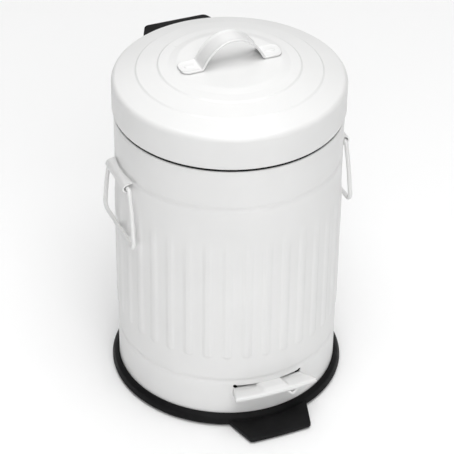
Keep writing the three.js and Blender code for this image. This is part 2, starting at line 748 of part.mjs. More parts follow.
// Bucket rim: the flat ring that hangs the bucket on the shell, notched for the hinge at the rear.
function bucketRim() {
  const outline = [
    [BUCKET_TOP_R - 0.9, FLANGE_LOW],
    [BUCKET_FLANGE_R, FLANGE_LOW],
    [BUCKET_FLANGE_R, FLANGE_TOP],
    [BUCKET_TOP_R - 0.6, FLANGE_TOP],
  ];
  return turned(outline, 60).subtract(block([-27, 97.2, 270], [27, 110, 290]));
}

// Bucket bail: a wire half-hoop lying inside the rim, its ends through the bucket wall.
function bucketBail() {
  const radius = 85.4;
  const arc = arcPoints(0, 0, radius, 184, 356, 20).map(([x, y]) => new THREE.Vector3(x, y, BAIL_Z));
  const path = [
    new THREE.Vector3(-94.6, 0, BAIL_Z),
    new THREE.Vector3(-87.2, 0, BAIL_Z),
    ...arc,
    new THREE.Vector3(87.2, 0, BAIL_Z),
    new THREE.Vector3(94.6, 0, BAIL_Z),
  ];
  return wire(path, 1.75, [0, 0, 1], 10);
}

// Colour and finish of each material, then every piece with its name
const PAINT = { color: 0xf1f0ee, roughness: 0.4, metalness: 0.1 };
const PLASTIC = { color: 0x1a1a1b, roughness: 0.55, metalness: 0 };
const STEEL = { color: 0xb6b8ba, roughness: 0.35, metalness: 1 };
const RUBBER = { color: 0x222222, roughness: 0.9, metalness: 0 };

const PIECES = [
  ['body_shell', PAINT, bodyShell()],
  ['base_tray', PLASTIC, baseTray()],
  ['pivot_bracket', STEEL, pivotBracket()],
  ['pedal_axle', STEEL, pedalAxle()],
  ['axle_clip_left', STEEL, axleClip(-1)],
  ['axle_clip_right', STEEL, axleClip(1)],
  ['bracket_screw_left', STEEL, bracketScrew(-1)],
  ['bracket_screw_right', STEEL, bracketScrew(1)],
  ['hinge_bracket', STEEL, hingeBracket()],
  ['hinge_pin', STEEL, hingePin()],
  ['bracket_rivet_left', STEEL, bracketRivet(-1)],
  ['bracket_rivet_right', STEEL, bracketRivet(1)],
  ['hinge_cover', PLASTIC, hingeCover()],
  ['cover_screw_left', STEEL, coverScrew(-1)],
  ['cover_screw_right', STEEL, coverScrew(1)],
  ['handle_bracket_left', PAINT, gripBracket(-1)],
  ['handle_bracket_right', PAINT, gripBracket(1)],
  ['rod_guide_lower', PLASTIC, rodGuide(110)],
  ['rod_guide_upper', PLASTIC, rodGuide(200)],
  ['lid_shell', PAINT, lidShell()],
  ['lid_handle', PAINT, lidHandle()],
  ['handle_rivet_left', PAINT, handleRivet(-1)],
  ['handle_rivet_right', PAINT, handleRivet(1)],
  ['lid_leaf', STEEL, lidLeaf()],
  ['leaf_rivet_left', STEEL, leafRivet(-1)],
  ['leaf_rivet_right', STEEL, leafRivet(1)],
  ['pedal_lever', PAINT, pedalLever()],
  ['push_rod', STEEL, pushRod()],
  ['inner_bucket', PLASTIC, innerBucket()],
  ['bucket_rim', PLASTIC, bucketRim()],
  ['bucket_bail', STEEL, bucketBail()],
  ['wire_handle_left', PAINT, wireHandle(-1)],
  ['wire_handle_right', PAINT, wireHandle(1)],
];
for (let i = 0; i < 4; i += 1) {
  PIECES.push([`foot_pad_${i + 1}`, RUBBER, footPad(i)]);
}

const group = new THREE.Group();
group.name = 'pedal_trash_can';
PIECES.forEach(([name, finish, solid]) => {
  const mesh = new THREE.Mesh(toGeometry(solid), new THREE.MeshStandardMaterial(finish));
  mesh.name = name;
  group.add(mesh);
});

export default group;
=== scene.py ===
import json
import math

import bmesh
import bpy
from mathutils import Matrix, Vector


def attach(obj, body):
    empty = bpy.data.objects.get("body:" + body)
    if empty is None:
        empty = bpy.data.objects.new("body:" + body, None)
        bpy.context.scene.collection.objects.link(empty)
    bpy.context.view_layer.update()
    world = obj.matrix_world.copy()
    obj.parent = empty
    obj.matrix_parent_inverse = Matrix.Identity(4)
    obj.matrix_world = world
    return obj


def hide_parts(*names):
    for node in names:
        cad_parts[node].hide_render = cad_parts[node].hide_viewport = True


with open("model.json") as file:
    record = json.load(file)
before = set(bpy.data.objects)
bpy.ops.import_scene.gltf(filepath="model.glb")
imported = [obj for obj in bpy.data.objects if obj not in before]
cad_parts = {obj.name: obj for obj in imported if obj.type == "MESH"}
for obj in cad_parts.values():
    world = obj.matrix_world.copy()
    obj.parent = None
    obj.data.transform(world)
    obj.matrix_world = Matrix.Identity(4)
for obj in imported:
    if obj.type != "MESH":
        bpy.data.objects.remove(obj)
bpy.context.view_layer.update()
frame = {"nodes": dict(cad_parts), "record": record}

# Pedal trash can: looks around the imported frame. Lengths are millimetres in the row frame
# (floor at z = 0, pedal towards -Y) and become metres when a mesh is made.
MM = 0.001

BODY_R = 101.0
WALL = 1.2
BODY_LOW = 4.3
BODY_TOP = 274.0
GROOVES = (48.0, 235.0)
GROOVE_DEPTH = 1.0
GROOVE_HALF = 3.6
RIB_COUNT = 36
RIB_PHASE_DEG = -92.5
RIB_LOW = 73.0
RIB_HIGH = 205.0
RIB_HALF = 4.5
RIB_HEIGHT = 1.0
SLOT_HALF = 32.0
SLOT_LOW = 28.6
SLOT_HIGH = 43.1

LID_R = 102.5
LID_WALL = 1.0
LID_RIM_Z = 307.4
SKIRT_LOW = 277.0

STRAP_FOOT_Z = 323.45
STRAP_TOP_Z = 346.35
STRAP_FOOT_X = 46.6
STRAP_ARCH_X = 27.9
STRAP_HALF = 10.0
STRAP_SKIN = 0.45
STRAP_HEM = 1.05
STRAP_CORNER = 6.5
RIVET_X = 37.5

TRAY_LOW = 1.5
TOE_HALF = 28.5
TOE_TOP = 6.3
FOOT_PAD_R = 88.0

COVER_REAR = 131.0
COVER_LOW = 241.0
COVER_TOP = 293.0
COVER_WALL = 2.0
COVER_SCREW_X = 33.0
BRACKET_RIVET_X = 19.0
FIXING_Z = 262.0

PIVOT_Y = -6.0
PIVOT_Z = 28.0
PAD_REAR_Z = 40.6
PAD_RISE = 5.4
PAD_RIB = 2.4
PAD_RIB_HALF = 13.2
PAD_ROOT = 33.3
PAD_TIP = 39.3
PAD_BEND = 1.6
PAD_SHEET = 1.2

ROD_X = 4.6
ROD_R = 2.0
ROD_TOP = (107.0, 281.0)
ROD_FOOT = (95.8, 24.0)

GRIP_X = 103.2
GRIP_Z = 228.3
GRIP_DROP = 55.3
GRIP_LEAN = 0.9
GRIP_HOOD = 22.0
GRIP_WIRE_R = 1.9
HOOD_OUTER = 4.6
HOOD_INNER = 3.3

BUCKET_RIM_R = 100.9
BUCKET_RIM_TOP = 276.6
BAIL_Z = 268.0
BAIL_R = 85.4
BAIL_WIRE_R = 1.75

PAINT_DEEP = (0.80, 0.80, 0.795)
PAINT_LIGHT = (0.83, 0.83, 0.825)

# The view: angles in degrees, lens and sensor in millimetres.
CAMERA_AZIMUTH = -22.9
CAMERA_ELEVATION = 35.554
CAMERA_DISTANCE = 17.923 * LID_R
CAMERA_ROLL = 0.714
CAMERA_AIM_Z = 2.0 + 1.405 * LID_R
CAMERA_SIDE = -0.006 * LID_R
SENSOR = 36.0
FOCAL = 160.19445

# The world light fades towards the picture's sides and towards the back.
WORLD_STRENGTH = 0.86
WORLD_SIDES = 0.0
WORLD_BACK = 0.5
SIDES_FADE = (0.15, 0.85)
BACK_FADE = (0.3, 0.9)

# Name, place in metres, width and height in metres, watts. All aim at the bin's middle.
SOFTBOX_AIM = (0, 0, 0.15)
SOFTBOXES = [
    ("camera_side", (-0.55, -2.6, 2.3), (2.0, 2.0), 30),
    ("top", (0.0, -0.3, 3.0), (2.4, 2.4), 53),
    ("back", (0.9, 2.6, 2.4), (2.4, 1.6), 4),
]
FLOOR_SIZE = 6.0


# ---------------------------------------------------------------- mesh helpers
def make(name, verts, faces, material, body, nodes=(), crease=35.0):
    """A piece from vertices in millimetres. It rides on a body and stands for CAD nodes."""
    mesh = bpy.data.meshes.new(name)
    mesh.from_pydata([Vector(v) * MM for v in verts], [], faces)
    obj = bpy.data.objects.new(name, mesh)
    bpy.context.scene.collection.objects.link(obj)
    tidy_mesh(obj, crease)
    mesh.materials.append(material)
    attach(obj, body)
    if nodes:
        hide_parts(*nodes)
    return obj


def tidy_mesh(obj, crease):
    """Merges doubles, turns faces outward and shades smooth but for edges past the crease."""
    build = bmesh.new()
    build.from_mesh(obj.data)
    bmesh.ops.remove_doubles(build, verts=build.verts, dist=1e-7)
    bmesh.ops.recalc_face_normals(build, faces=build.faces)
    for face in build.faces:
        face.smooth = True
    build.to_mesh(obj.data)
    build.free()
    obj.data.set_sharp_from_angle(angle=math.radians(crease))


def raw(verts, faces):
    """A helper object that is cut from or joined to a piece and then removed."""
    mesh = bpy.data.meshes.new("tool")
    mesh.from_pydata([Vector(v) * MM for v in verts], [], faces)
    build = bmesh.new()
    build.from_mesh(mesh)
    bmesh.ops.remove_doubles(build, verts=build.verts, dist=1e-7)
    bmesh.ops.recalc_face_normals(build, faces=build.faces)
    build.to_mesh(mesh)
    build.free()
    obj = bpy.data.objects.new("tool", mesh)
    bpy.context.scene.collection.objects.link(obj)
    return obj


def combine(obj, others, operation="DIFFERENCE"):
    """Applies a boolean with each helper to the object's mesh and removes the helpers."""
    for other in others:
        modifier = obj.modifiers.new("cut", "BOOLEAN")
        modifier.operation = operation
        modifier.solver = "EXACT"
        modifier.object = other
    graph = bpy.context.evaluated_depsgraph_get()
    mesh = bpy.data.meshes.new_from_object(obj.evaluated_get(graph))
    obj.modifiers.clear()
    old = obj.data
    obj.data = mesh
    bpy.data.meshes.remove(old)
    for other in others:
        bpy.data.objects.remove(other)


def round_edges(obj, width, angle, segments=4, profile=0.5, clamp=False):
    """Bevels the edges of the object's mesh that are sharper than the angle in degrees."""
    build = bmesh.new()
    build.from_mesh(obj.data)
    if clamp:
        bmesh.ops.dissolve_limit(build, angle_limit=math.radians(1), verts=build.verts, edges=build.edges)
    edges = [edge for edge in build.edges if edge.calc_face_angle(0) > math.radians(angle)]
    bmesh.ops.bevel(
        build, geom=edges, offset=width * MM, segments=segments, profile=profile,
        affect="EDGES", clamp_overlap=clamp,
    )
    build.to_mesh(obj.data)
    build.free()


def piece(obj, name, material, body, nodes=(), crease=35.0):
    """Turns a helper object into a finished piece."""
    obj.name = name
    obj.data.name = name
    tidy_mesh(obj, crease)
    obj.data.materials.clear()
    obj.data.materials.append(material)
    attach(obj, body)
    if nodes:
        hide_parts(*nodes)
    return obj


def loop_grid(rings, close_rings=False):
    """Vertices and quads of equal rings of points joined in turn, the ends capped."""
    count = len(rings[0])
    verts = [point for ring in rings for point in ring]
    faces = []
    spans = len(rings) if close_rings else len(rings) - 1
    for j in range(spans):
        low = j * count
        high = ((j + 1) % len(rings)) * count
        for i in range(count):
            k = (i + 1) % count
            faces.append((low + i, low + k, high + k, high + i))
    if not close_rings:
        faces.append(tuple(range(count)))
        faces.append(tuple(range(len(verts) - count, len(verts))))
    return verts, faces


def revolve(outline, segments=180):
    """A closed body turned from an (r, z) outline; points on the axis become poles."""
    verts = []
    faces = []
    columns = []
    for r, z in outline:
        if abs(r) < 1e-6:
            columns.append([len(verts)] * segments)
            verts.append((0, 0, z))
        else:
            start = len(verts)
            for i in range(segments):
                angle = 2 * math.pi * i / segments
                verts.append((r * math.cos(angle), r * math.sin(angle), z))
            columns.append(list(range(start, start + segments)))
    on_axis = abs(outline[0][0]) < 1e-6
    count = len(columns) - 1 if on_axis else len(columns)
    for j in range(count):
        low = columns[j]
        high = columns[(j + 1) % len(columns)]
        for i in range(segments):
            k = (i + 1) % segments
            corners = []
            for index in (low[i], low[k], high[k], high[i]):
                if index not in corners:
                    corners.append(index)
            if len(corners) > 2:
                faces.append(tuple(corners))
    return verts, faces


def fillet(points, radii, steps=6, closed=True):
    """An outline in the plane with its corners rounded. One radius, or one for each corner."""
    count = len(points)
    if not hasattr(radii, "__len__"):
        radii = [radii] * count
    result = []
    for i, point in enumerate(points):
        if radii[i] <= 0 or (not closed and i in (0, count - 1)):
            result.append(tuple(point))
            continue
        corner = Vector(point)
        back = (Vector(points[i - 1]) - corner).normalized()
        ahead = (Vector(points[(i + 1) % count]) - corner).normalized()
        half = back.angle(ahead) / 2
        if half > math.pi / 2 - 0.01:
            result.append(tuple(point))
            continue
        reach = radii[i] / math.tan(half)
        centre = corner + (back + ahead).normalized() * (radii[i] / math.sin(half))
        start = corner + back * reach
        end = corner + ahead * reach
        for k in range(steps + 1):
            arm = start.lerp(end, k / steps) - centre
            result.append(tuple(centre + arm.normalized() * radii[i]))
    return result


def prism(outline, axis, low, high):
    """An outline given a thickness along X, Y or Z."""
    place = {
        "x": lambda a, b, c: (c, a, b),
        "y": lambda a, b, c: (a, c, b),
        "z": lambda a, b, c: (a, b, c),
    }[axis]
    return loop_grid([[place(a, b, level) for a, b in outline] for level in (low, high)])


def block(low, high):
    """A plain block, used to cut or to keep."""
    corners = [(low[0], low[1]), (high[0], low[1]), (high[0], high[1]), (low[0], high[1])]
    return raw(*prism(corners, "z", low[2], high[2]))


def rod(start, end, radius, sides=24):
    """A plain round bar, used to cut or to join."""
    a = Vector(start)
    b = Vector(end)
    turn = Vector((0, 0, 1)).rotation_difference(b - a)
    rings = []
    for centre in (a, b):
        ring = []
        for i in range(sides):
            angle = 2 * math.pi * i / sides
            ring.append(centre + turn @ Vector((radius * math.cos(angle), radius * math.sin(angle), 0)))
        rings.append(ring)
    return raw(*loop_grid(rings))


def round_path(points, radii, steps=8):
    """A polyline in space with its inner corners rounded."""
    result = [Vector(points[0])]
    for i in range(1, len(points) - 1):
        corner = Vector(points[i])
        back = (Vector(points[i - 1]) - corner).normalized()
        ahead = (Vector(points[i + 1]) - corner).normalized()
        half = back.angle(ahead) / 2
        radius = radii[i - 1]
        centre = corner + (back + ahead).normalized() * (radius / math.sin(half))
        start = corner + back * (radius / math.tan(half))
        end = corner + ahead * (radius / math.tan(half))
        for k in range(steps + 1):
            arm = start.lerp(end, k / steps) - centre
            result.append(centre + arm.normalized() * radius)
    result.append(Vector(points[-1]))
    return result


def tube(path, radius, normal, sides=20):
    """A round wire along a path that lies in the plane with this normal, with rounded ends."""
    across = Vector(normal).normalized()
    stations = [(point, radius) for point in path]
    first = (path[0] - path[1]).normalized()
    last = (path[-1] - path[-2]).normalized()
    for share in (0.35, 0.8):
        out = radius * 0.4 * share
        size = radius * math.sqrt(1 - share * share)
        stations.insert(0, (path[0] + first * out, size))
        stations.append((path[-1] + last * out, size))
    rings = []
    for i, (point, size) in enumerate(stations):
        before = stations[max(i - 1, 0)][0]
        after = stations[min(i + 1, len(stations) - 1)][0]
        along = (after - before).normalized()
        side = along.cross(across).normalized()
        ring = []
        for k in range(sides):
            angle = 2 * math.pi * k / sides
            ring.append(point + side * (size * math.cos(angle)) + across * (size * math.sin(angle)))
        rings.append(ring)
    return loop_grid(rings)


def ease(value):
    """0 below 0, 1 above 1, smooth between."""
    value = min(max(value, 0.0), 1.0)
    return value * value * (3 - 2 * value)


# ------------------------------------------------------------------- materials
class Nodes:
    """Short names for building a material's node tree."""

    def __init__(self, name):
        self.material = bpy.data.materials.new(name)
        self.material.use_nodes = True
        self.tree = self.material.node_tree
        self.shader = self.tree.nodes["Principled BSDF"]
        self.place = self.add("ShaderNodeTexCoord").outputs["Object"]

    def add(self, kind, **values):
        node = self.tree.nodes.new(kind)
        for key, value in values.items():
            if hasattr(node, key):
                setattr(node, key, value)
            else:
                node.inputs[key.replace("_", " ").title()].default_value = value
        return node

    def link(self, output, target):
        self.tree.links.new(output, target)

    def noise(self, scale, detail=4.0, roughness=0.55, stretch=None):
        node = self.add("ShaderNodeTexNoise", scale=scale, detail=detail, roughness=roughness)
        source = self.place
        if stretch:
            mapping = self.add("ShaderNodeMapping")
            mapping.inputs["Scale"].default_value = stretch
            self.link(source, mapping.inputs["Vector"])
            source = mapping.outputs["Vector"]
        self.link(source, node.inputs["Vector"])
        return node.outputs["Fac"]

    def ramp(self, factor, stops):
        node = self.add("ShaderNodeValToRGB")
        elements = node.color_ramp.elements
        while len(elements) < len(stops):
            elements.new(0.5)
        for element, (position, colour) in zip(elements, stops):
            element.position = position
            element.color = (*colour, 1)
        self.link(factor, node.inputs["Fac"])
        return node.outputs["Color"]

    def span(self, factor, low, high, start=0.0, end=1.0):
        node = self.add("ShaderNodeMapRange")
        node.inputs["From Min"].default_value = start
        node.inputs["From Max"].default_value = end
        node.inputs["To Min"].default_value = low
        node.inputs["To Max"].default_value = high
        self.link(factor, node.inputs["Value"])
        return node.outputs["Result"]

    def mix(self, factor, a, b, blend="MIX"):
        node = self.add("ShaderNodeMix")
        node.data_type = "RGBA"
        node.blend_type = blend
        colour_in = [s for s in node.inputs if s.type == "RGBA"]
        self.link(factor, node.inputs[0])
        for socket, value in zip(colour_in, (a, b)):
            if isinstance(value, tuple):
                socket.default_value = (*value, 1)
            else:
                self.link(value, socket)
        return [s for s in node.outputs if s.type == "RGBA"][0]

    def times(self, a, b):
        node = self.add("ShaderNodeMath", operation="MULTIPLY")
        for socket, value in zip(node.inputs, (a, b)):
            if isinstance(value, (int, float)):
                socket.default_value = value
            else:
                self.link(value, socket)
        return node.outputs["Value"]

    def bump(self, height, distance, strength=1.0, under=None):
        node = self.add("ShaderNodeBump")
        node.inputs["Strength"].default_value = strength
        node.inputs["Distance"].default_value = distance
        self.link(height, node.inputs["Height"])
        if under is not None:
            self.link(under, node.inputs["Normal"])
        return node.outputs["Normal"]


def white_paint():
    """Semi-gloss white powder coat with a faint orange peel and slightly worn edges."""
    n = Nodes("white_powder_coat")
    drift = n.noise(14.0, detail=3.0)
    colour = n.ramp(drift, [(0.3, PAINT_DEEP), (0.7, PAINT_LIGHT)])
    geometry = n.add("ShaderNodeNewGeometry")
    edge = n.span(geometry.outputs["Pointiness"], 0.0, 1.0, 0.56, 0.66)
    patches = n.span(n.noise(160.0, detail=5.0), 0.0, 0.5, 0.52, 0.7)
    colour = n.mix(n.times(edge, patches), colour, (0.62, 0.61, 0.6))
    n.link(colour, n.shader.inputs["Base Color"])
    n.link(n.span(n.noise(55.0, detail=6.0), 0.3, 0.42, 0.3, 0.7), n.shader.inputs["Roughness"])
    peel = n.bump(n.noise(620.0, detail=1.5), 0.00006, 0.5)
    dents = n.bump(n.noise(28.0, detail=1.0), 0.0004, 0.25, under=peel)
    n.link(dents, n.shader.inputs["Normal"])
    n.shader.inputs["Specular IOR Level"].default_value = 0.5
    n.shader.inputs["Coat Weight"].default_value = 0.25
    n.shader.inputs["Coat Roughness"].default_value = 0.2
    return n.material


def black_plastic():
    """Fine-grained moulded black plastic, a little greyer on rubbed edges."""
    n = Nodes("moulded_black_plastic")
    colour = n.ramp(n.noise(30.0), [(0.3, (0.004, 0.004, 0.0045)), (0.7, (0.007, 0.007, 0.0075))])
    geometry = n.add("ShaderNodeNewGeometry")
    edge = n.span(geometry.outputs["Pointiness"], 0.0, 0.6, 0.55, 0.68)
    colour = n.mix(n.times(edge, n.noise(220.0)), colour, (0.06, 0.06, 0.062))
    n.link(colour, n.shader.inputs["Base Color"])
    n.link(n.span(n.noise(90.0), 0.48, 0.62, 0.3, 0.7), n.shader.inputs["Roughness"])
    grain = n.bump(n.noise(1500.0, detail=2.0), 0.00012, 0.6)
    n.link(grain, n.shader.inputs["Normal"])
    n.shader.inputs["Specular IOR Level"].default_value = 0.16
    return n.material


def plated_steel():
    """Dull zinc-plated steel with fine drawn streaks."""
    n = Nodes("zinc_plated_steel")
    colour = n.ramp(n.noise(70.0), [(0.3, (0.42, 0.43, 0.44)), (0.7, (0.6, 0.6, 0.59))])
    n.link(colour, n.shader.inputs["Base Color"])
    n.shader.inputs["Metallic"].default_value = 1.0
    n.link(n.span(n.noise(240.0), 0.28, 0.5, 0.3, 0.7), n.shader.inputs["Roughness"])
    streaks = n.noise(500.0, stretch=(1.0, 1.0, 0.08))
    n.link(n.bump(streaks, 0.00005, 0.5), n.shader.inputs["Normal"])
    return n.material


def black_rubber():
    """Matt rubber with dust in its grain."""
    n = Nodes("foot_rubber")
    colour = n.ramp(n.noise(300.0), [(0.35, (0.014, 0.014, 0.014)), (0.75, (0.04, 0.038, 0.036))])
    n.link(colour, n.shader.inputs["Base Color"])
    n.link(n.span(n.noise(120.0), 0.75, 0.95), n.shader.inputs["Roughness"])
    n.link(n.bump(n.noise(900.0), 0.0001, 0.6), n.shader.inputs["Normal"])
    return n.material


PAINT = white_paint()
PLASTIC = black_plastic()
STEEL = plated_steel()
RUBBER = black_rubber()


# ------------------------------------------------------------------------ body
def groove_in(z):
    """How far the two ring grooves pull the wall in at height z."""
    total = 0.0
    for centre in GROOVES:
        away = abs(z - centre) / GROOVE_HALF
        if away < 1:
            total += GROOVE_DEPTH * (0.5 + 0.5 * math.cos(math.pi * away))
    return total


def rib_out(z, angle):
    """How far a vertical rib pushes the wall out: round lower end, upper end fading away."""
    if z < RIB_LOW or z > RIB_HIGH:
        return 0.0
    pitch = 2 * math.pi / RIB_COUNT
    turn = (angle - math.radians(RIB_PHASE_DEG)) / pitch
    across = (turn - round(turn)) * pitch * BODY_R
    below = max(RIB_LOW + RIB_HALF - z, 0.0)
    above = max(z - (RIB_HIGH - RIB_HALF * 1.6), 0.0) / 1.6
    away = math.hypot(across, below, above)
    return RIB_HEIGHT * ease((RIB_HALF - away) / 2.6) * ease((RIB_HIGH - z) / 22.0)


def wall_heights():
    """Heights of the rows of the outer wall, closer together where the shape changes."""
    rows = {BODY_LOW, 12.0, 24.0, 36.0, 60.0, 220.0, 250.0, 262.0, BODY_TOP - 1.2}
    for centre in GROOVES:
        for i in range(-6, 7):
            rows.add(centre + i * GROOVE_HALF / 6)
    for i in range(12):
        rows.add(RIB_LOW + i * 0.7)
        rows.add(RIB_HIGH - i * 2.2)
    for i in range(1, 12):
        rows.add(RIB_LOW + 8 + i * 8.5)
    return sorted(rows)


def wall_stations():
    """Rows of the tube, each with its step out from BODY_R, its height and its kind of wall."""
    rim = [
        (-0.1, 273.2), (-0.45, 273.75), (-1.1, 274.0), (-3.4, 274.0),
        (-4.2, 273.6), (-4.4, 272.8), (-4.1, 272.0), (-3.4, 271.6),
    ]
    inner = [z for z in wall_heights() if z < 268 and (z < 56 or z > 225)]
    stations = [(0.0, z, "outer") for z in wall_heights()]
    stations += [(out, z, "rim") for out, z in rim]
    stations += [(-WALL, z, "inner") for z in [270.5] + inner[::-1]]
    return stations


def body_shell():
    """The ribbed tube with its rolled rim, pedal slot, rod window and fixing holes."""
    columns = RIB_COUNT * 14
    rings = []
    for out, z, kind in wall_stations():
        ring = []
        for i in range(columns):
            angle = 2 * math.pi * i / columns
            r = BODY_R + out - (groove_in(z) if kind != "rim" else 0.0)
            if kind == "outer":
                r += rib_out(z, angle)
            ring.append((r * math.cos(angle), r * math.sin(angle), z))
        rings.append(ring)
    shell = raw(*loop_grid(rings, close_rings=True))
    slot = fillet(
        [(-SLOT_HALF, SLOT_HIGH), (SLOT_HALF, SLOT_HIGH), (SLOT_HALF, SLOT_LOW), (-SLOT_HALF, SLOT_LOW)], 1.2,
    )
    tools = [raw(*prism(slot, "y", -BODY_R - 6, -BODY_R + 18))]
    tools.append(block((-1.5, 88, 243.5), (10.7, 110, 267.5)))
    corner_z = SLOT_HIGH - 0.9
    for side in (-1, 1):
        x = side * (SLOT_HALF - 0.4)
        rivet_x = side * BRACKET_RIVET_X
        screw_x = side * COVER_SCREW_X
        tools.append(rod((x, -BODY_R - 6, corner_z), (x, -BODY_R + 18, corner_z), 1.7))
        tools.append(rod((rivet_x, 90, FIXING_Z), (rivet_x, 110, FIXING_Z), 1.7))
        tools.append(rod((screw_x, 85, FIXING_Z), (screw_x, 105, FIXING_Z), 1.8))
    combine(shell, tools)
    return piece(shell, "ribbed_body", PAINT, "base", ["body_shell"], crease=40)


def toe_step():
    """The foot extension in front of the ring, its flanks closing in and its front bowed."""
    plan = [(-38.5, -97), (-38.0, -101), (-TOE_HALF - 1.2, -129.2)]
    for i in range(9):
        x = -TOE_HALF + 1.5 + (2 * TOE_HALF - 3) * i / 8
        plan.append((x, -130.2 - 0.8 * (1 - (x / TOE_HALF) ** 2)))
    plan += [(TOE_HALF + 1.2, -129.2), (38.0, -101), (38.5, -97)]
    step = raw(*prism(plan, "z", TRAY_LOW, TOE_TOP))
    round_edges(step, 1.1, 25)
    combine(step, [raw(*revolve([(0, 0.5), (102.2, 0.5), (102.2, 9), (0, 9)], 160))])
    return step


def base_ring():
    """The plastic tray with the groove that the tube stands in."""
    ring = fillet(
        [(0, TRAY_LOW), (106.4, TRAY_LOW), (107.6, 3.2), (105.6, 8.2), (102.6, 11.4), (101.3, 11.4),
         (101.3, 4.0), (99.5, 4.0), (99.5, 12.0), (97.5, 12.0), (97.5, 4.0), (0, 4.0)],
        [0, 0.8, 0.9, 3, 0.5, 0.3, 0.2, 0.2, 0.5, 0.5, 0.8, 0], 4,
    )
    tray = raw(*revolve(ring, 160))
    combine(tray, [toe_step()], "UNION")
    return piece(tray, "base_ring", PLASTIC, "base", ["base_tray"], crease=40)


def foot_pads():
    outline = fillet([(0, 0), (9.6, 0), (10, 1.2), (0, 1.2)], [0, 0.3, 0.2, 0], 3)
    for i in range(4):
        angle = math.pi / 4 + i * math.pi / 2
        across = FOOT_PAD_R * math.cos(angle)
        along = FOOT_PAD_R * math.sin(angle)
        verts, faces = revolve(outline, 40)
        moved = [(x + across, y + along, z) for x, y, z in verts]
        make(f"rubber_pad_{i + 1}", moved, faces, RUBBER, "base", [f"foot_pad_{i + 1}"])


def cover_outline(inset):
    """Plan of the hinge cover, its sides spreading towards the body."""
    right = [(29.5 - inset, COVER_REAR - inset), (43 - inset, 100), (45 - inset, 84)]
    left = [(-x, y) for x, y in right[::-1]]
    return fillet(right + left, [5.5, 8, 0, 0, 8, 5.5], 6)


def hinge_cover():
    """The hollow housing, cut to the tube and the lid, with two screw posts inside."""
    cover = raw(*prism(cover_outline(0), "z", COVER_LOW, COVER_TOP))
    round_edges(cover, 1.6, 60)
    hollow = raw(*prism(cover_outline(COVER_WALL), "z", COVER_LOW + COVER_WALL, COVER_TOP - COVER_WALL))
    posts = []
    holes = []
    for side in (-1, 1):
        x = side * COVER_SCREW_X
        posts.append(rod((x, 80, FIXING_Z), (x, 130, FIXING_Z), 3.6))
        holes.append(rod((x, 80, FIXING_Z), (x, 112, FIXING_Z), 1.5))
    combine(hollow, [block((-60, 104.6, 275.8), (60, 106.6, 300))] + posts)
    skin = raw(*revolve([(0, 200), (BODY_R + 0.5, 200), (BODY_R + 0.5, 276), (0, 276)], 180))
    room = raw(*prism([(60, 275.9), (104.6, 275.9), (104.6, 291), (106.6, 300), (60, 300)], "x", -60, 60))
    bracket_room = block((-15.6, 100, 270), (15.6, 122, 295))
    combine(cover, [hollow, skin, room, bracket_room] + holes)
    return piece(cover, "hinge_housing", PLASTIC, "base", ["hinge_cover"], crease=30)


# ------------------------------------------------------------------------- lid
def lid_profile():
    """The lid in section: disc, two low steps, rounded rim and skirt, then back inside."""
    inside = LID_R - LID_WALL
    outer = fillet(
        [(0, 322.2), (45.4, 321.95), (52.6, 320.2), (61.4, 319.1), (63.0, 318.0), (80.4, 314.3),
         (82.0, 313.2), (LID_R, LID_RIM_Z), (LID_R, SKIRT_LOW + 2.6), (LID_R - 0.8, SKIRT_LOW)],
        [0, 12, 12, 0.9, 0.9, 0.9, 0.9, 5.6, 2, 0], 8, closed=False,
    )
    inner = fillet(
        [(LID_R - 0.8, SKIRT_LOW), (inside - 0.3, SKIRT_LOW + 0.3), (inside, SKIRT_LOW + 3), (inside, 306.6),
         (82.6, 311.1), (63.4, 315.9), (47.4, 319.1), (45.2, 320.7), (0, 321.2)],
        [0, 0, 1, 4.6, 1, 1, 1, 1, 0], 5, closed=False,
    )
    return outer + inner[1:]


def lid_shell():
    lid = raw(*revolve(lid_profile(), 240))
    tools = [block((-12.6, 95, 270), (12.6, 110, 289.3))]
    for side in (-1, 1):
        tools.append(rod((side * 6.5, 90, 297), (side * 6.5, 110, 297), 1.7))
        tools.append(rod((side * RIVET_X, 0, 310), (side * RIVET_X, 0, 330), 2.2))
    combine(lid, tools)
    return piece(lid, "stepped_lid", PAINT, "lid", ["lid_shell"], crease=50)


def strap_path():
    """Middle line of the strap in the X-Z plane: foot, arch, foot."""
    arch = []
    steps = 40
    for i in range(steps + 1):
        angle = math.pi / 2 * i / steps
        rise = (STRAP_TOP_Z - STRAP_FOOT_Z) * math.sin(angle) ** 1.55
        arch.append((STRAP_ARCH_X * math.cos(angle), STRAP_FOOT_Z + rise))
    bend = [(34.0, STRAP_FOOT_Z), (STRAP_ARCH_X + 0.7, STRAP_FOOT_Z), arch[7]]
    right = [(STRAP_FOOT_X, STRAP_FOOT_Z), (36.0, STRAP_FOOT_Z)]
    right += fillet(bend, [0, 2.2, 0], 6, closed=False) + arch[8:]
    left = [(-x, z) for x, z in right[:-1]][::-1]
    return [Vector((x, 0, z)) for x, z in right + left]


def strap_section(wide):
    """Across the strap: thin in the middle, a rolled hem on each long edge."""
    points = []
    for side, first in ((1, 120), (-1, 300)):
        for i in range(9):
            points.append((side * (-wide + 2.5 + (2 * wide - 5.0) * i / 8), side * STRAP_SKIN))
        for i in range(11):
            angle = math.radians(first - 240 * i / 10)
            y = side * (wide - STRAP_HEM) + STRAP_HEM * math.cos(angle)
            points.append((y, -0.05 + STRAP_HEM * math.sin(angle)))
    return points


